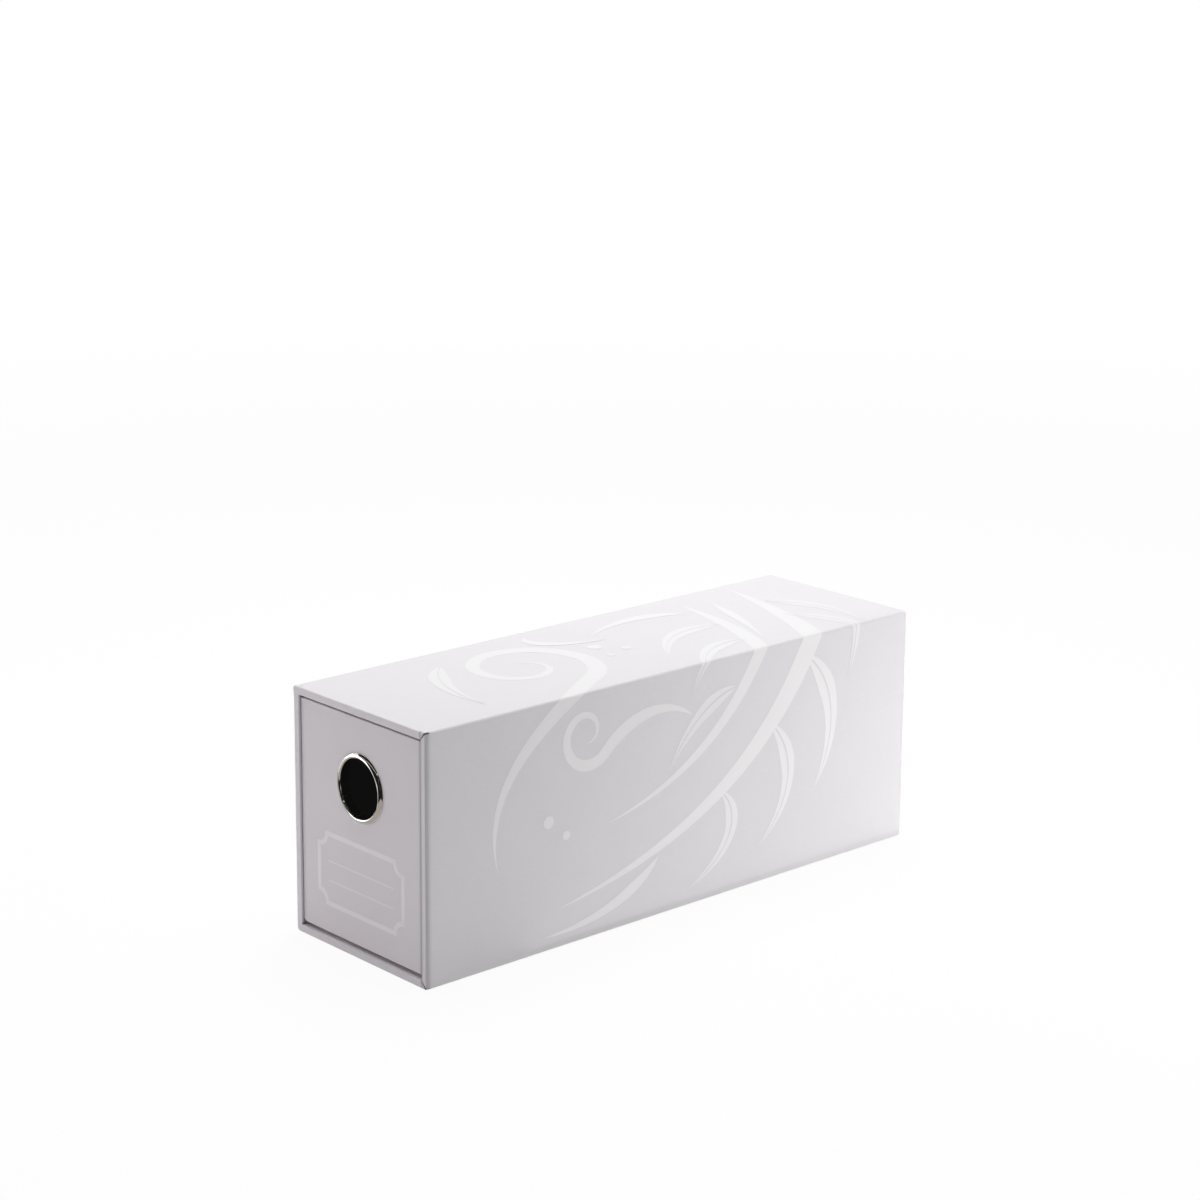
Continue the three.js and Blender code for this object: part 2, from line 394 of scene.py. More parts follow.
@dataclass(frozen=True)
class MetalFinish(Finish):
    """Polished plate on a stamped ring, with faint handling wear."""

    colour: Colour
    dulled: Colour
    roughness: float = 0.07
    smears: Pattern = Pattern(160.0, 4.0)
    dull_span: Point = (0.45, 0.75)
    smear_span: Point = (0.4, 0.8)
    smear_wear: float = 0.06
    smear_depth: float = mm(0.03)
    smear_strength: float = 0.06
    # on the metal these are real wear marks that roughen and bump the plate, with no painted shade
    wear_marks_and_painted_shade: Pattern = Pattern(1400.0, 3.0)
    mark_span: Point = (0.6, 0.8)
    mark_wear: float = 0.03

    def inputs(self, graph: Graph) -> dict[str, Any]:
        """Give the metal's shader inputs.

        Args:
            graph: The material's graph.

        Returns:
            The inputs by name.
        """
        smears = self.smears.noise(graph)
        wear_marks_and_painted_shade = self.wear_marks_and_painted_shade.noise(graph).ramp(*self.mark_span)
        wear = smears.ramp(*self.smear_span) * self.smear_wear + wear_marks_and_painted_shade * self.mark_wear
        return {
            "Base Color": graph.mix(smears.ramp(*self.dull_span), self.colour, self.dulled),
            "Metallic": 1.0,
            "Roughness": wear + self.roughness,
            "Normal": graph.bump(smears, self.smear_depth, self.smear_strength),
        }


PAPER_COLOURS = (
    grey(0.80, (1.0, 0.957, 0.995)),
    grey(0.79, (1.0, 0.955, 0.995)),
    grey(0.83, (1.0, 0.961, 0.995)),
)
PRINTED = PaperFinish(
    "sleeve_wrap_paper",
    *PAPER_COLOURS,
    # painted shade: the dark crease down the front right edge, the shade on the rim beside the
    # drawer and the shade in the left gap
    wear_marks_and_painted_shade=(
        PaintedEdgeShade((mm(44.8), mm(-144.0)), (mm(1.2), mm(3.4)), 0.6),
        PaintedEdgeShade((mm(41.3), mm(-144.0)), (mm(1.6), mm(2.0)), 0.42),
        PaintedEdgeShade((mm(-41.3), mm(-142.4)), (mm(0.7), mm(1.5)), 0.6),
    ),
)
DRAWER_PAPER = PaperFinish(
    "drawer_wrap_paper",
    *PAPER_COLOURS,
    # painted shade: the drawer front darker beside the right rim and along its top edge under the
    # rim
    wear_marks_and_painted_shade=(
        PaintedEdgeShade((mm(40.0), mm(-142.75)), (mm(2.2), mm(3.0)), 0.6),
        PaintedEdgeShade((mm(105.8), mm(-141.4)), (mm(0.8), mm(1.6)), 0.7, (2, 1)),
    ),
)
COVER = PaperFinish(
    "base_cover_paper",
    grey(0.76, (1.0, 0.957, 0.995)),
    grey(0.75, (1.0, 0.955, 0.995)),
    grey(0.79, (1.0, 0.96, 0.995)),
    0.68,
)
PRINT_INK = PaperFinish(
    "pale_print_ink",
    grey(0.945, (1.0, 0.967, 0.984)),
    grey(0.93, (1.0, 0.967, 0.984)),
    grey(0.955, (1.0, 0.97, 0.984)),
    specular=0.03,
    # painted shade: the ink darker on the top face, standing in for how light and sheen fall there
    painted_top_shade=grey(0.865, (1.0, 0.972, 0.992)),
)
LABEL_INK = PaperFinish(
    "pale_label_ink",
    grey(0.93, (1.0, 0.972, 0.985)),
    grey(0.91, (1.0, 0.972, 0.985)),
    grey(0.95, (1.0, 0.975, 0.985)),
    0.55,
)
BLACK = PaperFinish(
    "black_inner_paper",
    grey(0.0075),
    grey(0.006),
    grey(0.013),
    0.7,
    specular=0.22,
    # painted glow: the black inside glows faintly, standing in for light that reaches it
    painted_glow=0.0045,
)
TAPE = PaperFinish(
    "brown_tape", (0.42, 0.27, 0.14, 1.0), (0.38, 0.24, 0.12, 1.0), (0.5, 0.34, 0.2, 1.0), 0.8
)
BOARD = BoardFinish(
    "grey_pulp_board", (0.31, 0.29, 0.26, 1.0), (0.24, 0.225, 0.2, 1.0), (0.5, 0.47, 0.42, 1.0)
)
NICKEL = MetalFinish("nickel_plate", (0.82, 0.79, 0.75, 1.0), (0.74, 0.71, 0.67, 1.0))
WHITE = (1.0, 1.0, 1.0)
OVERHEAD_TINT = (0.966, 1.0, 0.985)
REAR_TINT = (0.97, 1.0, 0.985)
FRONT_TINT = (1.0, 0.94, 0.98)
DARK = grey(0.014, (1.0, 0.95, 0.9))
WARM_GREY = grey(0.42, (1.0, 0.93, 0.88))


class Slot(Enum):
    """The record's material slots."""

    PRINTED = "printed_paper"
    COVER = "cover_paper"
    BOARD = "greyboard"
    TAPE = "stay_tape"
    BLACK = "black_lining"
    NICKEL = "nickel"


class Body(Enum):
    """The bodies that move apart."""

    SLEEVE = "sleeve"
    DRAWER = "drawer"


FINISHES = {
    Slot.PRINTED: PRINTED,
    Slot.COVER: COVER,
    Slot.BOARD: BOARD,
    Slot.TAPE: TAPE,
    Slot.BLACK: BLACK,
    Slot.NICKEL: NICKEL,
}


@dataclass(frozen=True)
class Block:
    """A box along the axes, by its lowest and highest corners."""

    low: Vector
    high: Vector

    @property
    def size(self) -> Vector:
        """The box's three lengths."""
        return self.high - self.low

    @property
    def middle(self) -> Vector:
        """The box's centre."""
        return (self.low + self.high) / 2

    def holds(self, point: Vector, axes: Sequence[int]) -> bool:
        """Say whether a point lies within the box along some axes."""
        spans = ((self.low[a] - TOLERANCE, point[a], self.high[a] + TOLERANCE) for a in axes)
        return all(low <= place <= high for low, place, high in spans)


def node_box(node: str) -> Any:
    """Make a dataclass field that reads the box of a frame node."""
    return field(default_factory=lambda: Block(*map(Vector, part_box(node))))


def axis_vector(axis: int, length: float = 1.0) -> Vector:
    """Give a vector of some length along one axis."""
    return Vector([length if index == axis else 0.0 for index in range(3)])


def at_level(parts: Iterable[Any], axis: int, level: float) -> list[Any]:
    """Keep the edges or faces that lie wholly at one level of an axis."""
    return [p for p in parts if all(abs(v.co[axis] - level) < TOLERANCE for v in p.verts)]


def span(face: Face, axis: int) -> Point:
    """Give the lowest and the highest place of a face along an axis."""
    places = [vert.co[axis] for vert in face.verts]
    return min(places), max(places)


def link_mesh(name: str, bm: Mesh, material: bpy.types.Material) -> bpy.types.Object:
    """Turn a mesh into an object of the scene.

    Args:
        name: The object's name.
        bm: Its mesh, which is freed.
        material: Its material.

    Returns:
        The new object.
    """
    data = bpy.data.meshes.new(name)
    bm.to_mesh(data)
    bm.free()
    data.materials.append(material)
    made = bpy.data.objects.new(name, data)
    bpy.context.scene.collection.objects.link(made)
    return made


@dataclass
class Skin:
    """A mesh in the making, with the operations that shape it."""

    bm: Mesh = field(default_factory=bmesh.new)

    def block(self, block: Block) -> None:
        """Add a plain box of six faces."""
        place = Matrix.Translation(block.middle) @ Matrix.Diagonal((*block.size, 1.0))
        bmesh.ops.create_cube(self.bm, size=1.0, matrix=place)

    def lengthwise(self, reach: float) -> list[Edge]:
        """Give the edges that run further than a reach along the box."""
        return [e for e in self.bm.edges if abs(e.verts[0].co.y - e.verts[1].co.y) > reach]

    def round_off(self, edges: Iterable[Edge], radius: float, segments: int) -> None:
        """Round some edges to a radius, in a number of steps."""
        bmesh.ops.bevel(
            self.bm,
            geom=list(edges),
            offset=radius,
            segments=segments,
            profile=0.5,
            affect="EDGES",
            clamp_overlap=True,
            material=-1,
        )

    def pull(self, edges: Sequence[Edge], shift: Vector) -> None:
        """Extrude a run of edges.

        Args:
            edges: The edges to extrude.
            shift: How far the new edges move.
        """
        made = bmesh.ops.extrude_edge_only(self.bm, edges=edges)["geom"]
        verts = [part for part in made if isinstance(part, Vert)]
        bmesh.ops.translate(self.bm, verts=verts, vec=shift)

    def cut(
        self,
        place: Vector,
        normal: Vector,
        faces: Optional[Sequence[Face]] = None,
        clear: bool = False,
    ) -> None:
        """Cut along a plane.

        Args:
            place: A point on the plane.
            normal: The plane's normal.
            faces: The faces to cut, or None for all.
            clear: Whether what lies beyond the plane goes.
        """
        chosen = self.bm.faces if faces is None else faces
        geom = {part for face in chosen for part in (face, *face.edges, *face.verts)}
        bmesh.ops.bisect_plane(
            self.bm,
            geom=list(geom),
            dist=TOLERANCE,
            plane_co=place,
            plane_no=normal,
            clear_outer=clear,
        )

    def cut_level(self, axis: int, level: float, faces: Optional[Sequence[Face]] = None) -> None:
        """Cut all or some faces at one level of an axis."""
        self.cut(axis_vector(axis, level), axis_vector(axis), faces)

    def open_window(self, facing: int, level: float, opening: Block) -> list[Edge]:
        """Cut a rectangular window out of a flat side.

        Args:
            facing: The axis that the side stands across.
            level: The side's level along it.
            opening: The window's extent.

        Returns:
            The edges round the window.
        """
        axes = [axis for axis in range(3) if axis != facing]
        for axis in axes:
            for corner in (opening.low, opening.high):
                self.cut_level(axis, corner[axis], at_level(self.bm.faces, facing, level))
        side = at_level(self.bm.faces, facing, level)
        inside = {f for f in side if opening.holds(f.calc_center_median(), axes)}
        rim = [e for f in inside for e in f.edges if any(g not in inside for g in e.link_faces)]
        bmesh.ops.delete(self.bm, geom=list(inside), context="FACES")
        return rim

    def close_up(self, merge: float = TOLERANCE) -> None:
        """Merge doubled points, drop what has no area and turn the faces outwards.

        Args:
            merge: How far apart doubled points may lie, or 0 where all points stay.
        """
        if merge:
            bmesh.ops.remove_doubles(self.bm, verts=self.bm.verts, dist=merge)
        bmesh.ops.dissolve_degenerate(self.bm, edges=self.bm.edges, dist=TOLERANCE)
        bmesh.ops.recalc_face_normals(self.bm, faces=self.bm.faces)

    def turn_round(self, wrong: Callable[[Face], bool]) -> None:
        """Turn round the faces that look the wrong way."""
        bmesh.ops.reverse_faces(self.bm, faces=[f for f in self.bm.faces if wrong(f)])

    def dress(
        self,
        name: str,
        finish: Finish,
        body: Body,
        slot: Slot,
        stands_for: Sequence[str] = (),
        paper: float = 0.0,
        smooth: bool = True,
    ) -> None:
        """Turn the finished mesh into a piece that rides on a body.

        Args:
            name: The piece's name.
            finish: Its finish.
            body: The body that it rides on.
            slot: The record's material slot; not used.
            stands_for: The frame nodes that it replaces.
            paper: The thickness that an open skin is given, outwards if above 0.
            smooth: Whether its faces are smooth shaded.
        """
        for face in self.bm.faces:
            face.smooth = smooth
        made = link_mesh(name, self.bm, finish.material())
        if paper:
            solid = made.modifiers.new("paper", "SOLIDIFY")
            solid.thickness = abs(paper)
            solid.offset = math.copysign(1.0, paper)
        if smooth:
            weigh = made.modifiers.new("flat_faces_first", "WEIGHTED_NORMAL")
            weigh.keep_sharp = False
            weigh.weight = 100
        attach(made, body.value)
        if stands_for:
            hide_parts(*stands_for)
        LOG.info("%s: %d faces", name, len(made.data.polygons))


@dataclass
class SleeveWrap(Skin):
    """The sleeve's printed outer paper, folded round the boards and into the mouth."""

    paper: float = mm(0.15)
    turn_in: float = mm(15.0)
    flap: float = mm(14.0)
    crisp_radius: float = mm(1.15)
    worn_radius: float = mm(1.65)
    rim_radius: float = mm(0.55)
    inner_rim_radius: float = mm(0.6)
    mouth_corner_radius: float = mm(0.35)
    corner_segments: int = 8
    rim_segments: int = 5
    mouth_corner_segments: int = 3
    along_slack: float = 0.1
    slit_mouth: float = mm(0.95)
    slit_end: float = mm(0.4)
    slit_depth: float = mm(2.2)
    slit_overrun: float = mm(0.2)
    slit_margin: float = mm(1.0)
    side_strip: float = mm(1.2)
    relief_reach: float = mm(4.2)
    relief_depth: float = mm(0.38)
    relief_blend: float = mm(1.0)
    relief_steps: int = 6
    lap_height: float = mm(7.0)
    lap_reach: float = mm(2.6)
    lap_bulge: float = mm(0.55)
    lap_start_share: float = 0.3
    lap_steps: int = 6
    outer: Block = node_box("sleeve_wrap")
    mouth: Block = node_box("sleeve_lining")

    def build(self) -> None:
        """Fold the sheet round the box and dress it."""
        low, high = self.outer.low, self.outer.high
        self.block(self.outer)
        self._round_long_edges()
        for end in (low.y, high.y):
            self.round_off(at_level(self.bm.edges, 1, end), self.rim_radius, self.rim_segments)
        mouth = self.open_window(1, low.y, self.mouth)
        self.pull(mouth, axis_vector(1, self.turn_in))
        self._round_mouth({vert for edge in mouth for vert in edge.verts})
        flap = Vector((self.flap, self.flap, self.flap))
        inner = Block(low + flap, high - flap)
        self.open_window(1, high.y, inner)
        self.open_window(2, low.z, inner)
        self._slit_corners()
        self._ease_front_edge()
        self._lift_lap()
        self.close_up()
        self.dress(
            "sleeve_wrap_paper", PRINTED, Body.SLEEVE, Slot.PRINTED, ["sleeve_wrap"], -self.paper
        )

    def _round_long_edges(self) -> None:
        """Round the four long edges, the lower left one more than the others."""
        middle = self.outer.middle
        runs = self.lengthwise(self.outer.size.y / 2)
        worn = [e for e in runs if all(v.co.x < middle.x and v.co.z < middle.z for v in e.verts)]
        self.round_off([e for e in runs if e not in worn], self.crisp_radius, self.corner_segments)
        self.round_off(worn, self.worn_radius, self.corner_segments)

    def _round_mouth(self, corners: set[Vert]) -> None:
        """Round the inner edge of the rim and the mouth's four corners.

        Args:
            corners: The points of the mouth's edge.
        """
        depth = [e for e in self.lengthwise(self.turn_in / 2) if corners & set(e.verts)]
        self.round_off(depth, self.mouth_corner_radius, self.mouth_corner_segments)
        rim = [
            e
            for e in at_level(self.bm.edges, 1, self.outer.low.y)
            if all(self.mouth.holds(v.co, (0, 2)) for v in e.verts)
            and any(abs(f.normal.y) < self.along_slack for f in e.link_faces)
        ]
        self.round_off(rim, self.inner_rim_radius, self.rim_segments)

    def _slit_corners(self) -> None:
        """Open the mitres at the two right corners of the rim."""
        outer, mouth = self.outer, self.mouth
        for outer_z, inner_z in ((outer.high.z, mouth.high.z), (outer.low.z, mouth.low.z)):
            inside = Vector((mouth.high.x, outer.low.y, inner_z))
            self._open_slit(inside, Vector((outer.high.x, outer.low.y, outer_z)))

    def _open_slit(self, inside: Vector, outside: Vector) -> None:
        """Cut a thin wedge out of the paper, from the mouth's corner to the outer corner.

        Args:
            inside: The mouth's corner.
            outside: The outer corner.
        """
        along = (outside - inside).normalized()
        across = axis_vector(1, -1.0).cross(along)
        planes = []
        for side in (-1.0, 1.0):
            start = inside + across * side * self.slit_end / 2
            finish = outside + across * side * self.slit_mouth / 2
            normal = (finish - start).normalized().cross(axis_vector(1)).normalized()
            planes.append((start, normal if normal.dot(across * side) >= 0.0 else -normal))
        planes.append((axis_vector(1, self.outer.low.y + self.slit_depth), axis_vector(1)))
        for place, normal in planes:
            self.cut(place, normal, self._near_slit(inside, outside))
        planes.append((inside - along * self.slit_overrun, -along))
        doomed = [
            f
            for f in self.bm.faces
            if all((f.calc_center_median() - place).dot(normal) < 0.0 for place, normal in planes)
        ]
        bmesh.ops.delete(self.bm, geom=doomed, context="FACES")

    def _near_slit(self, inside: Vector, outside: Vector) -> list[Face]:
        """Find the faces that reach the rim's corner round a slit.

        Args:
            inside: The mouth's corner.
            outside: The outer corner.

        Returns:
            The faces.
        """
        low_x, low_z = (min(inside[a], outside[a]) - self.slit_margin for a in (0, 2))
        high_z = max(inside.z, outside.z) + self.slit_margin
        depth = self.outer.low.y + self.slit_depth
        return [
            f
            for f in self.bm.faces
            if span(f, 0)[1] > low_x
            and span(f, 1)[0] < depth
            and span(f, 2)[1] > low_z
            and span(f, 2)[0] < high_z
        ]

    def _ease_front_edge(self) -> None:
        """Press the right side's front edge in a little, as the board gives there."""
        start = self.outer.low.y + self.rim_radius
        edge = self.outer.high.x - self.side_strip
        for step in range(1, self.relief_steps + 1):
            side = [f for f in self.bm.faces if f.calc_center_median().x > edge]
            self.cut_level(1, start + self.relief_reach * step / self.relief_steps, side)
        for vert in self.bm.verts:
            depth = vert.co.y - start
            near_side = (vert.co.x - self.mouth.high.x - self.relief_blend) / self.relief_blend
            if near_side > 0.0 and depth < self.relief_reach:
                share = 1.0 - max(depth, 0.0) / self.relief_reach
                vert.co.x -= self.relief_depth * share**2 * min(near_side, 1.0)

    def _lift_lap(self) -> None:
        """Swell the upper left corner of the front, where the paper is lapped."""
        low, top = self.outer.low, self.outer.high.z
        edge = low.x + self.side_strip
        reach = low.y + self.rim_radius + self.lap_reach
        side = [f for f in self.bm.faces if f.calc_center_median().x < edge]
        self.cut_level(1, reach, [f for f in side if span(f, 1)[0] < reach])
        for step in range(1, self.lap_steps + 1):
            side = [f for f in self.bm.faces if f.calc_center_median().x < edge]
            front = [f for f in side if span(f, 1)[1] < reach + TOLERANCE]
            self.cut_level(2, top - self.lap_height * step / self.lap_steps, front)
        for vert in self.bm.verts:
            drop = (top - vert.co.z) / self.lap_height
            inward = (vert.co.x - low.x) / self.side_strip
            back = (vert.co.y - low.y) / (reach - low.y)
            if max(drop, inward, back) < 1.0:
                swell = math.sin(math.pi * min(drop + self.lap_start_share, 1.0))
                vert.co.x -= self.lap_bulge * max(swell * (1.0 - inward) * (1.0 - back), 0.0)


@dataclass
class DrawerWrap(Skin):
    """The drawer's outer paper, with the hole for the eyelet."""

    paper: float = mm(0.15)
    turn_in: float = mm(15.0)
    edge_radius: float = mm(0.35)
    lower_radius: float = mm(1.9)
    top_radius: float = mm(0.7)
    ridge_width: float = mm(1.7)
    ridge_rise: float = mm(0.2)
    ridge_spread: float = mm(0.3)
    ridge_skin: float = mm(0.3)
    ridge_steps: int = 5
    foot_height: float = mm(2.4)
    foot_lift: float = mm(0.45)
    front_depth: float = mm(1.6)
    hole_radius: float = mm(13.3)
    cell_side: float = mm(34.0)
    lower_segments: int = 6
    upper_segments: int = 3
    edge_segments: int = 4
    hole_segments: int = 96
    outer: Block = node_box("drawer_wrap")
    lining: Block = node_box("drawer_lining")
    eyelet: Block = node_box("eyelet_ring")

    def build(self) -> None:
        """Fold the sheet round the drawer and dress it."""
        self.block(self.outer)
        self._round_outside()
        self._open_top()
        self._pierce_front()
        self._shape_front_edges()
        self.close_up()
        self.dress(
            "drawer_wrap_paper",
            DRAWER_PAPER,
            Body.DRAWER,
            Slot.PRINTED,
            ["drawer_wrap"],
            -self.paper,
        )

    def _round_outside(self) -> None:
        """Round the two long lower edges most, and the other edges a little."""
        middle = self.outer.middle
        runs = self.lengthwise(self.outer.size.y / 2)
        lower = [e for e in runs if all(v.co.z < middle.z for v in e.verts)]
        upper = [e for e in runs if e not in lower]
        self.round_off(lower, self.lower_radius, self.lower_segments)
        self.round_off(upper, self.edge_radius, self.upper_segments)
        for end in (self.outer.low.y, self.outer.high.y):
            self.round_off(at_level(self.bm.edges, 1, end), self.edge_radius, self.edge_segments)

    def _open_top(self) -> None:
        """Open the top and turn the paper down inside the walls."""
        rim = self.open_window(2, self.outer.high.z, self.lining)
        self.pull(rim, axis_vector(2, -self.turn_in))
        self.round_off(rim, self.top_radius, self.edge_segments)

    def _pierce_front(self) -> None:
        """Cut the eyelet's hole in the front, in the middle of a square cell."""
        middle = self.eyelet.middle
        front = self.outer.low.y
        reach = Vector((1.0, 1.0, 1.0)) * self.cell_side / 2
        border = self.open_window(1, front, Block(middle - reach, middle + reach))
        cuts = self.hole_segments // 4 - 1
        made = bmesh.ops.subdivide_edges(self.bm, edges=border, cuts=cuts, use_grid_fill=False)
        rim = {part for part in made["geom"] if isinstance(part, Edge)}
        square = [e for e in rim if len(e.link_faces) == 1]
        turn = Matrix.Rotation(math.pi / 2, 4, "X") @ Matrix.Rotation(math.pi / 4, 4, "Z")
        ring = bmesh.ops.create_circle(
            self.bm,
            cap_ends=False,
            segments=self.hole_segments,
            radius=self.hole_radius,
            matrix=Matrix.Translation((middle.x, front, middle.z)) @ turn,
        )
        round_hole = list({e for v in ring["verts"] for e in v.link_edges})
        bmesh.ops.bridge_loops(self.bm, edges=square + round_hole)

    def _shape_front_edges(self) -> None:
        """Raise the fold at the front's left edge and lift its lower edge a little."""
        low = self.outer.low
        for step in range(1, self.ridge_steps + 1):
            front = [f for f in self.bm.faces if span(f, 1)[1] < low.y + self.ridge_skin]
            self.cut_level(0, low.x + self.ridge_width * step / self.ridge_steps, front)
        depth = low.y + self.front_depth
        self.cut_level(1, depth)
        front = [f for f in self.bm.faces if f.calc_center_median().y < depth]
        self.cut_level(2, low.z + self.foot_height, front)
        for vert in self.bm.verts:
            near = max(1.0 - (vert.co.y - low.y) / self.front_depth, 0.0)
            side = max(1.0 - (vert.co.x - low.x) / self.ridge_width, 0.0)
            foot = max(1.0 - (vert.co.z - low.z) / self.foot_height, 0.0)
            rise = Vector((self.ridge_spread, self.ridge_rise, 0.0)) * side**2
            vert.co -= (rise - axis_vector(2, self.foot_lift * foot)) * near


@dataclass
class Eyelet:
    """The metal finger ring: a rolled flange, a barrel and a lip curled over a washer."""

    bore: float = mm(12.85)
    flange: float = mm(15.4)
    bead: float = mm(1.5)
    bead_skew: float = 1.35
    off_centre: float = mm(-0.32)
    drop: float = mm(0.15)
    wall: float = mm(0.35)
    curl_width: float = mm(1.0)
    curl_height: float = mm(0.8)
    washer_clearance: float = mm(0.1)
    washer_ease: float = mm(0.15)
    steps: int = 144
    bead_steps: int = 18
    curl_steps: int = 8
    front: Block = node_box("drawer_wrap")
    ring: Block = node_box("eyelet_ring")
    washer: Block = node_box("eyelet_washer")

    def build(self) -> None:
        """Build the ring in one piece, and the washer with its outer edges eased."""
        barrel = self.bore + self.wall
        face, low, high = self.front.low.y, self.washer.low.y, self.washer.high.y
        ring = self._bulge(
            self.flange, self.bore, face, -self.bead, self.bead_steps, self.bead_skew
        )
        curl_end = barrel + self.curl_width
        ring += self._bulge(self.bore, curl_end, high, self.curl_height, self.curl_steps)
        ring += [(barrel, high), (barrel, face)]
        self._spin("eyelet_flange", ring, "eyelet_ring")
        inner = barrel + self.washer_clearance
        outer = self.washer.size.x / 2
        eased = outer - self.washer_ease
        washer = [(inner, low), (eased, low), (outer, low + self.washer_ease)]
        washer += [(outer, high - self.washer_ease), (eased, high), (inner, high)]
        self._spin("eyelet_back_ring", washer, "eyelet_washer")

    def _bulge(
        self,
        start: float,
        end: float,
        seat: float,
        height: float,
        steps: int,
        skew: float = 1.0,
    ) -> list[Point]:
        """Give the points of a rounded lip.

        Args:
            start: The radius where it begins.
            end: The radius where it ends.
            seat: Its place along the barrel.
            height: How far it stands off, signed.
            steps: Its steps.
            skew: Above 1, its crest lies nearer its end.

        Returns:
            Radius and place of each point.
        """
        middle, reach = (start + end) / 2, (start - end) / 2
        points = []
        for step in range(steps + 1):
            share = step / steps
            rise = math.sin(math.pi * share**skew) if 0 < step < steps else 0.0
            points.append((middle + reach * math.cos(math.pi * share), seat + height * rise))
        return points

    def _spin(self, name: str, profile: Sequence[Point], stands_for: str) -> None:
        """Turn a closed profile round the eyelet's axis and dress it.

        Args:
            name: The piece's name.
            profile: Radius and place of each point.
            stands_for: The frame node that it replaces.
        """
        skin = Skin()
        middle = self.ring.middle
        centre = Vector((middle.x + self.off_centre, 0.0, middle.z - self.drop))
        verts = [skin.bm.verts.new(centre + Vector((*point, 0.0))) for point in profile]
        edges = [skin.bm.edges.new(pair) for pair in zip(verts, verts[1:] + verts[:1])]
        bmesh.ops.spin(
            skin.bm,
            geom=verts + edges,
            cent=centre,
            axis=axis_vector(1),
            angle=math.tau,
            steps=self.steps,
            use_merge=True,
        )
        skin.close_up()
        skin.dress(name, NICKEL, Body.DRAWER, Slot.NICKEL, [stands_for])


def left_of(run: Vector) -> Vector:
    """Give the direction to the left of a run in the flat sheet."""
    return Vector((-run.y, run.x))


class Curve:
    """A smooth line through the flat sheet, in millimetres."""

    def at(self, share: float) -> Vector:
        """Give the point at a share of the way."""
        raise NotImplementedError

    def heading(self, share: float, step: float = 0.001) -> Vector:
        """Give the direction of travel at a share of the way."""
        run = self.at(min(share + step, 1.0)) - self.at(max(share - step, 0.0))
        return run.normalized()

    def side(self, share: float) -> Vector:
        """Give the direction to the left of travel at a share of the way."""
        return left_of(self.heading(share))


@dataclass(frozen=True)
class Spine(Curve):
    """A curve by four control points."""

    start: Point
    lead: Point
    trail: Point
    end: Point

    def at(self, share: float) -> Vector:
        """Give the point at a share of the way.

        Args:
            share: The share.

        Returns:
            The point.
        """
        rest = 1.0 - share
        weights = (rest**3, 3 * rest**2 * share, 3 * rest * share**2, share**3)
        points = (self.start, self.lead, self.trail, self.end)
        return Vector([sum(w * p[axis] for w, p in zip(weights, points)) for axis in (0, 1)])


@dataclass(frozen=True)
class Hook(Curve):
    """A curve that ends in a coil."""

    lead: Spine
    radius: float
    last_radius: float
    sweep: float
    lead_share: float = 0.4
    tightening: float = 1.4

    def at(self, share: float) -> Vector:
        """Give the point at a share of the way.

        Args:
            share: The share.

        Returns:
            The point.
        """
        if share < self.lead_share:
            return self.lead.at(share / self.lead_share)
        wound = (share - self.lead_share) / (1.0 - self.lead_share)
        outward = self.lead.side(1.0) * -math.copysign(1.0, self.sweep)
        centre = self.lead.at(1.0) - outward * self.radius
        reach = self.radius * (self.last_radius / self.radius) ** (wound**self.tightening)
        return centre + Matrix.Rotation(math.radians(self.sweep) * wound, 2) @ outward * reach


def strip(
    bm: Mesh, curve: Curve, right: Width, left: Width, steps: int, across: int = 2
) -> list[Vert]:
    """Lay a band of faces along a curve in the flat sheet.

    Args:
        bm: The mesh that takes the band, with its sheet in X and Y.
        curve: The curve that the band follows.
        right: The band's right edge, as a distance to the left of the curve.
        left: The band's left edge, measured alike.
        steps: The faces along the band.
        across: The faces across it.

    Returns:
        The band's points.
    """
    made = bmesh.ops.create_grid(bm, x_segments=steps, y_segments=across, size=0.5)["verts"]
    for vert in made:
        share, over = (min(max(place + 0.5, 0.0), 1.0) for place in vert.co.xy)
        offset = right(share) * (1.0 - over) + left(share) * over
        point = curve.at(share) + curve.side(share) * offset
        vert.co = Vector((point.x * MM, point.y * MM, 0.0))
    bmesh.ops.remove_doubles(bm, verts=made, dist=PRINT_MERGE)
    return [v for v in made if v.is_valid]


@dataclass(frozen=True)
class Ribbon:
    """A band that swells and thins to a point at both ends, with an open vein if wanted."""

    curve: Curve
    width: float
    belly: float = 0.4
    vein: float = 0.0
    tip_gap: float = 0.05
    swell_power: float = 0.85
    fade_power: float = 0.8
    vein_power: float = 0.5
    steps: int = 72

    def half_width(self, share: float) -> float:
        """Give half the band's width at a share of its length.

        Args:
            share: The share.

        Returns:
            Half the width, in millimetres.
        """
        grow = min(share / self.belly, 1.0)
        fade = min((1.0 - share) / (1.0 - self.belly), 1.0)
        swell = math.sin(grow * math.pi / 2) ** self.swell_power
        return self.width / 2 * swell * fade**self.fade_power

    def gap(self, share: float) -> float:
        """Give half the vein's width, almost closed at the tip."""
        return self.vein / 2 * (1.0 - share) ** self.vein_power + self.tip_gap

    def draw(self, bm: Mesh) -> list[Vert]:
        """Lay the band in the sheet, in two blades where it has a vein.

        Args:
            bm: The mesh that takes it.

        Returns:
            Its points.
        """
        half, gap = self.half_width, self.gap
        if not self.vein:
            return strip(bm, self.curve, lambda s: -half(s), half, self.steps)
        right = strip(bm, self.curve, lambda s: -gap(s) - half(s), lambda s: -gap(s), self.steps)
        return right + strip(bm, self.curve, gap, lambda s: gap(s) + half(s), self.steps)


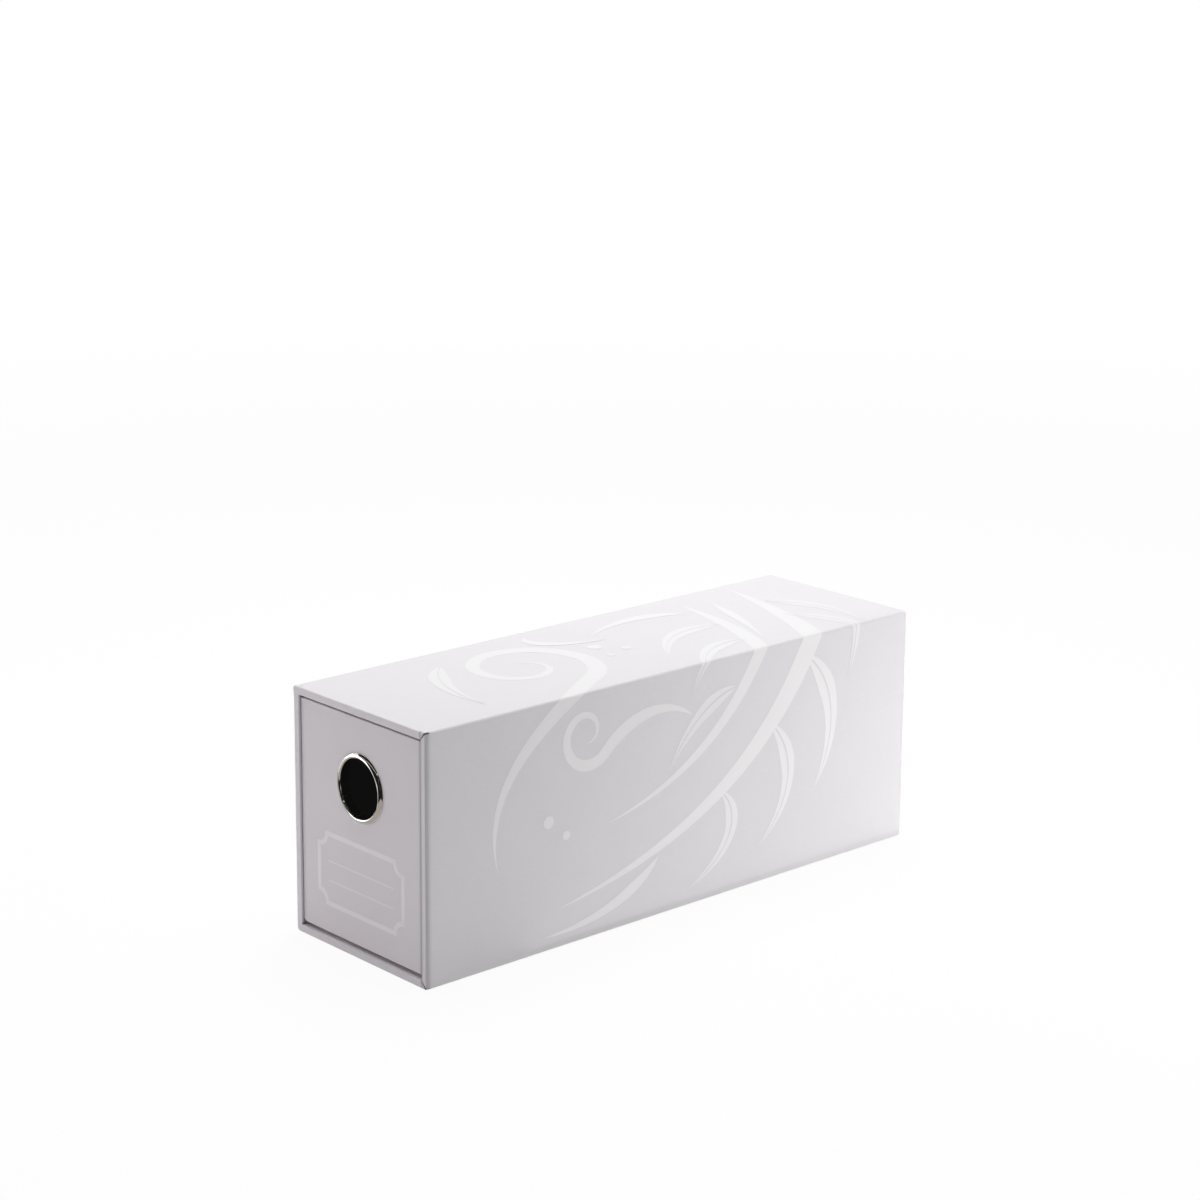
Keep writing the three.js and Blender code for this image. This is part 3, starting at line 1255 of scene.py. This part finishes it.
@dataclass(frozen=True)
class Bead:
    """A round dot."""

    place: Point
    radius: float
    segments: int = 48

    def draw(self, bm: Mesh) -> list[Vert]:
        """Lay the dot in the sheet and give its points."""
        made = bmesh.ops.create_circle(
            bm,
            cap_ends=True,
            segments=self.segments,
            radius=mm(self.radius),
            matrix=Matrix.Translation((mm(self.place[0]), mm(self.place[1]), 0.0)),
        )
        return list(made["verts"])


@dataclass
class SleevePrint(Skin):
    """The large pale print that runs over the top and down the right side.

    Its motifs are scrolling leaves, placed in millimetres from the front and from the left
    top edge.
    """

    fold_radius: float = mm(1.15)
    fold_steps: int = 8
    lift: float = mm(0.02)
    thickness: float = mm(0.02)
    layer: float = mm(0.003)
    margin: float = mm(1.6)
    outer: Block = node_box("sleeve_wrap")
    motifs: tuple[Union[Ribbon, Bead], ...] = (
        Ribbon(Spine((252, 8), (236, 84), (208, 162), (72, 182)), 11.0, 0.42),
        Ribbon(Spine((214, 14), (208, 66), (188, 134), (100, 150)), 8.0),
        Ribbon(
            Hook(Spine((38, 158), (26, 112), (76, 92), (108, 72)), 33.0, 7.0, -500.0), 8.5, 0.45
        ),
        Ribbon(
            Hook(Spine((150, 112), (134, 100), (112, 104), (98, 118)), 15.0, 4.0, 400.0), 6.0, 0.35
        ),
        Ribbon(Spine((221, 98), (240, 112), (244, 138), (228, 162)), 9.5, 0.35, 0.9),
        Ribbon(Spine((199, 126), (216, 142), (214, 166), (192, 182)), 8.0, 0.35, 0.8),
        Ribbon(Spine((168, 151), (182, 164), (174, 182), (148, 192)), 7.0, 0.35, 0.7),
        Ribbon(Spine((205, 50), (186, 42), (166, 50), (152, 72)), 8.5, 0.38, 0.8),
        Ribbon(Spine((198, 74), (178, 70), (160, 80), (148, 104)), 8.0, 0.38, 0.8),
        Ribbon(Spine((250, 34), (264, 46), (268, 66), (260, 88)), 7.5, 0.35, 0.7),
        Ribbon(Spine((240, 56), (254, 70), (258, 92), (248, 114)), 7.0, 0.35, 0.7),
        Ribbon(Spine((206, 26), (190, 14), (168, 14), (146, 26)), 6.5, 0.38),
        Ribbon(Spine((64, 20), (52, 30), (42, 48), (44, 74)), 8.5, 0.4, 0.8),
        Ribbon(Spine((228, 20), (222, 40), (216, 58), (204, 78)), 5.0),
        Ribbon(Spine((176, 104), (160, 106), (146, 118), (136, 134)), 7.0, 0.38, 0.8),
        Ribbon(Spine((122, 8), (112, 18), (128, 30), (148, 34)), 6.0),
        Ribbon(Spine((130, 172), (116, 186), (92, 194), (62, 193)), 5.5, 0.35),
        Bead((136, 40), 3.4),
        Bead((146, 50), 2.4),
        Bead((133, 54), 1.8),
        Bead((66, 142), 2.8),
        Bead((76, 150), 2.0),
    )

    def build(self) -> None:
        """Draw the print in the flat sheet, fold it over the box's edge and dress it."""
        for index, motif in enumerate(self.motifs):
            points = motif.draw(self.bm)
            bmesh.ops.translate(self.bm, verts=points, vec=axis_vector(2, self.layer * index))
        self._trim()
        start = self.outer.size.x - self.fold_radius
        arc = self.fold_radius * math.pi / 2
        for step in range(self.fold_steps + 1):
            self.cut_level(1, start + arc * step / self.fold_steps)
        for vert in self.bm.verts:
            vert.co = self._fold(vert.co, start, arc)
        self.close_up(merge=0.0)
        middle = self.outer.middle
        self.turn_round(lambda f: f.normal.dot(f.calc_center_median() - middle) < 0.0)
        self.dress(
            "sleeve_leaf_print", PRINT_INK, Body.SLEEVE, Slot.PRINTED, (), self.thickness, False
        )

    def _trim(self) -> None:
        """Cut off what would run past the sheet's edges."""
        size = self.outer.size
        for axis, length in enumerate((size.y, size.x + size.z - self.margin)):
            for side, level in ((-1.0, self.margin), (1.0, length - self.margin)):
                self.cut(axis_vector(axis, level), axis_vector(axis, side), clear=True)

    def _fold(self, flat: Vector, start: float, arc: float) -> Vector:
        """Carry a point of the flat sheet onto the box.

        Args:
            flat: The point, from the front, from the left top edge and off the paper.
            start: How far across the sheet its fold begins.
            arc: The fold's length.

        Returns:
            Its place on the box.
        """
        high = self.outer.high
        y = self.outer.low.y + flat.x
        lift = self.lift + flat.z
        if flat.y <= start:
            return Vector((self.outer.low.x + flat.y, y, high.z + lift))
        foot = high.z - self.fold_radius
        if flat.y >= start + arc:
            return Vector((high.x + lift, y, foot - (flat.y - start - arc)))
        angle = (flat.y - start) / self.fold_radius
        reach = self.fold_radius + lift
        x = high.x - self.fold_radius + reach * math.sin(angle)
        return Vector((x, y, foot + reach * math.cos(angle)))


@dataclass
class LabelFrame(Skin):
    """The printed frame on the drawer front, with two writing lines.

    Its sizes are in millimetres, from the box's left side and from its foot.
    """

    left: float = 15.2
    right: float = 72.6
    bottom: float = 18.4
    top: float = 49.6
    scoop: float = 5.4
    stroke: float = 2.2
    line: float = 0.55
    line_heights: tuple[float, float] = (37.6, 28.8)
    line_inset: float = 6.5
    line_steps: int = 12
    arc_steps: int = 14
    mitre_limit: float = 0.5
    lift: float = mm(0.02)
    thickness: float = mm(0.02)
    face: Block = node_box("drawer_wrap")
    box: Block = node_box("sleeve_wrap")

    def build(self) -> None:
        """Draw the frame and its lines flat, stand them on the drawer front and dress them."""
        self._draw_frame()
        half = self.line / 2
        start, end = self.left + self.line_inset, self.right - self.line_inset
        for height in self.line_heights:
            places = (start + (end - start) * third / 3 for third in range(4))
            spine = Spine(*((place, height) for place in places))
            strip(self.bm, spine, lambda s: -half, lambda s: half, self.line_steps, 1)
        y = self.face.low.y - self.lift
        for vert in self.bm.verts:
            vert.co = Vector((self.box.low.x + vert.co.x, y, vert.co.y))
        self.close_up(PRINT_MERGE)
        self.turn_round(lambda f: f.normal.y > 0.0)
        self.dress(
            "drawer_label_print", LABEL_INK, Body.DRAWER, Slot.PRINTED, (), self.thickness, False
        )

    def _outline(self) -> list[Vector]:
        """Give the middle line of the frame, with its four corners scooped out.

        Returns:
            Its points.
        """
        corners = (
            (self.right, self.top, 180.0),
            (self.left, self.top, -90.0),
            (self.left, self.bottom, 0.0),
            (self.right, self.bottom, 90.0),
        )
        points = []
        for x, z, start in corners:
            for step in range(self.arc_steps + 1):
                angle = math.radians(start + 90.0 - 90.0 * step / self.arc_steps)
                spoke = (self.scoop * math.cos(angle), self.scoop * math.sin(angle))
                points.append(Vector((x + spoke[0], z + spoke[1])))
        return points

    def _draw_frame(self) -> None:
        """Lay the frame's stroke along its middle line."""
        middle = self._outline()
        count = len(middle)
        made = bmesh.ops.create_grid(self.bm, x_segments=count, y_segments=1, size=0.5)
        for vert in made["verts"]:
            index = round((vert.co.x + 0.5) * count) % count
            before, here, after = middle[index - 1], middle[index], middle[(index + 1) % count]
            first, second = (here - before).normalized(), (after - here).normalized()
            normal = left_of(first + second).normalized()
            reach = self.stroke / 2 / max(normal.dot(left_of(first)), self.mitre_limit)
            point = here + normal * math.copysign(reach, vert.co.y)
            vert.co = Vector((point.x * MM, point.y * MM, 0.0))


@dataclass
class FrameDress:
    """Dresses the frame's own solids that stay in view or hidden inside."""

    skipped: frozenset = frozenset({"sleeve_wrap", "drawer_wrap", "eyelet_ring", "eyelet_washer"})

    def dress(self) -> None:
        """Give each kept node the material of its slot."""
        slots = {row["node"]: row["material_slot"] for row in frame["record"]["subparts"]}
        for node, thing in frame["nodes"].items():
            if node not in self.skipped:
                material = FINISHES[Slot(slots[node])].material()
                thing.data.materials.clear()
                thing.data.materials.append(material)
                LOG.info("%s: %s", node, material.name)


@dataclass(frozen=True)
class Softbox:
    """A rectangular studio lamp with a diffuser."""

    name: str
    place: Place
    aim: Place
    size: Point
    power: float
    tint: Place = WHITE
    mirrored: bool = True

    def hang(self) -> None:
        """Hang the lamp and point it."""
        data = bpy.data.lights.new(self.name, "AREA")
        data.color = self.tint
        data.shape = "RECTANGLE"
        data.size, data.size_y = self.size
        data.energy = self.power
        lamp = bpy.data.objects.new(self.name, data)
        lamp.location = self.place
        run = Vector(self.aim) - Vector(self.place)
        lamp.rotation_euler = run.to_track_quat("-Z", "Y").to_euler()
        lamp.visible_camera = False
        lamp.visible_glossy = self.mirrored
        bpy.context.scene.collection.objects.link(lamp)


@dataclass(frozen=True)
class Card:
    """A matt card of the backdrop, which only reflections show."""

    name: str
    low: Place
    high: Place
    colour: Colour = DARK
    hidden_from: tuple[str, ...] = (
        "camera",
        "diffuse",
        "shadow",
        "transmission",
        "volume_scatter",
    )

    def stand(self) -> None:
        """Stand the card in its place, as one face across its thinnest axis."""
        block = Block(Vector(self.low), Vector(self.high))
        flat = min(range(3), key=lambda axis: block.size[axis])
        skin = Skin()
        skin.block(block)
        level = block.middle[flat] + TOLERANCE
        spare = [f for f in skin.bm.faces if f.calc_center_median()[flat] <= level]
        bmesh.ops.delete(skin.bm, geom=spare, context="FACES")
        material = bpy.data.materials.new(self.name)
        graph = Graph(material)
        graph.close(graph.node("ShaderNodeEmission", {}, {"Color": self.colour, "Strength": 1.0}))
        card = link_mesh(self.name, skin.bm, material)
        for rays in self.hidden_from:
            setattr(card, f"visible_{rays}", False)


@dataclass
class Studio:
    """The white floor, the lamps, the dark cards and the camera."""

    ambient: float = 0.05
    floor_side: float = 30.0
    floor_cells: int = 8
    floor_level: float = 0.95
    floor_drop: float = mm(0.2)
    floor_glow: float = 0.21
    glow_tint: Colour = (1.0, 0.95, 0.99, 1.0)
    shadow_share: float = 0.07
    shadow_near: float = 0.5
    shadow_far: float = 1.6
    camera_place: Place = (0.9074, -0.8324, 0.4627)
    camera_back: Place = (0.7282, -0.6511, 0.2142)
    camera_roll: float = 0.325
    focal_pixels: float = 2864.55
    principal: Point = (580.55, 466.17)
    lamps: tuple[Softbox, ...] = (
        Softbox("overhead", (0, 0.1, 1.4), (0, 0.05, 0), (1.2, 1.2), 15.6, OVERHEAD_TINT, False),
        Softbox("overhead_rear", (-0.3, 0.32, 0.75), (0, 0.1, 0.05), (0.6, 0.6), 2.4, WHITE, False),
        Softbox(
            "rear_right", (0.35, 0.3, 0.05), (0.045, 0.144, -0.06), (0.24, 0.09), 0.66, REAR_TINT
        ),
        Softbox(
            "low_right",
            (0.0735, 0.045, 0.003),
            (0.0735, 0.045, 1),
            (0.055, 0.27),
            0.0082,
            mirrored=False,
        ),
        Softbox("front_left", (-0.6, -0.7, 0.25), (0, -0.14, 0.06), (0.5, 0.4), 1.68, FRONT_TINT),
        Softbox("left", (-1.2, -0.3, 0.3), (0, 0, 0.05), (0.8, 0.5), 1.45),
    )
    cards: tuple[Card, ...] = (
        Card("front_card", (-0.36, -0.91, 0.0), (0.75, -0.9, 0.9)),
        Card("right_card", (0.75, -0.9, 0.0), (0.76, 0.4, 0.95)),
        Card("upper_front_card", (-1.05, -0.91, 0.42), (-0.36, -0.9, 0.9)),
        Card("upper_card", (-1.2, -0.9, 1.0), (0.72, 0.4, 1.01)),
        Card("front_floor_card", (-0.1, -0.9, 0.001), (0.75, -0.29, 0.002)),
        Card("right_floor_card", (0.14, -0.29, 0.001), (0.75, -0.05, 0.002)),
        Card("near_floor_card", (-0.08, -0.29, 0.001), (0.14, -0.146, 0.002), WARM_GREY),
        Card("left_floor_card", (-0.31, -0.27, 0.001), (-0.1, -0.12, 0.002)),
    )

    def build(self) -> None:
        """Set up the whole studio."""
        self._build_world()
        self._build_floor()
        for lamp in self.lamps:
            lamp.hang()
        for card in self.cards:
            card.stand()
        self._build_camera()
        bpy.context.scene.view_settings.view_transform = "Standard"

    @staticmethod
    def _seen(graph: Graph) -> Shade:
        """Give 1 where the camera, a reflection or a clear material looks.

        Args:
            graph: The graph that asks.

        Returns:
            The value.
        """
        paths = graph.node("ShaderNodeLightPath").outputs
        camera = Shade(graph, paths["Is Camera Ray"])
        return camera.larger(paths["Is Glossy Ray"]).larger(paths["Is Transmission Ray"])

    def _build_world(self) -> None:
        """Light the scene evenly, and show white behind it."""
        world = bpy.data.worlds.new("studio")
        bpy.context.scene.world = world
        graph = Graph(world)
        dim, white = (
            graph.node("ShaderNodeBackground", {}, {"Color": grey(1.0), "Strength": strength})
            for strength in (self.ambient, 1.0)
        )
        graph.close(graph.blend(self._seen(graph), dim, white))

    def _build_floor(self) -> None:
        """Lay a white floor that still takes the object's shadow."""
        material = bpy.data.materials.new("studio_floor")
        graph = Graph(material)
        length = graph.node("ShaderNodeVectorMath", {"operation": "LENGTH"}, {0: graph.where})
        far = Shade(graph, length.outputs["Value"]).ramp(self.shadow_near, self.shadow_far)
        seen = self._seen(graph)
        plain = graph.node("ShaderNodeBsdfDiffuse", {}, {"Color": grey(self.floor_level)})
        tint = graph.mix(seen, self.glow_tint, grey(1.0))
        white = graph.node("ShaderNodeEmission", {}, {"Color": tint, "Strength": 1.0})
        share = seen * (1.0 - (1.0 - far) * self.shadow_share) + (1.0 - seen) * self.floor_glow
        graph.close(graph.blend(share, plain, white))
        bm = bmesh.new()
        bmesh.ops.create_grid(
            bm,
            x_segments=self.floor_cells,
            y_segments=self.floor_cells,
            size=self.floor_side / 2,
            matrix=Matrix.Translation((0.0, 0.0, -self.floor_drop)),
        )
        floor = link_mesh("studio_floor", bm, material)

    def _build_camera(self) -> None:
        """Put the camera where the photograph was taken from."""
        data = bpy.data.cameras.new("photo_camera")
        data.sensor_width = SENSOR
        data.lens = self.focal_pixels * SENSOR / PHOTO_SIDE
        data.shift_x = 0.5 - self.principal[0] / PHOTO_SIDE
        data.shift_y = self.principal[1] / PHOTO_SIDE - 0.5
        camera = bpy.data.objects.new("photo_camera", data)
        camera.location = self.camera_place
        look = (-Vector(self.camera_back)).to_track_quat("-Z", "Y")
        roll = Matrix.Rotation(math.radians(self.camera_roll), 4, "Z").to_quaternion()
        camera.rotation_mode = "QUATERNION"
        camera.rotation_quaternion = look @ roll
        bpy.context.scene.collection.objects.link(camera)
        bpy.context.scene.camera = camera


def main() -> None:
    """Build the studio and every piece of the box, in order."""
    logging.basicConfig(level=logging.INFO, format="%(name)s %(message)s")
    Studio().build()
    FrameDress().dress()
    SleeveWrap().build()
    SleevePrint().build()
    DrawerWrap().build()
    LabelFrame().build()
    Eyelet().build()


if __name__ == "__main__":
    main()
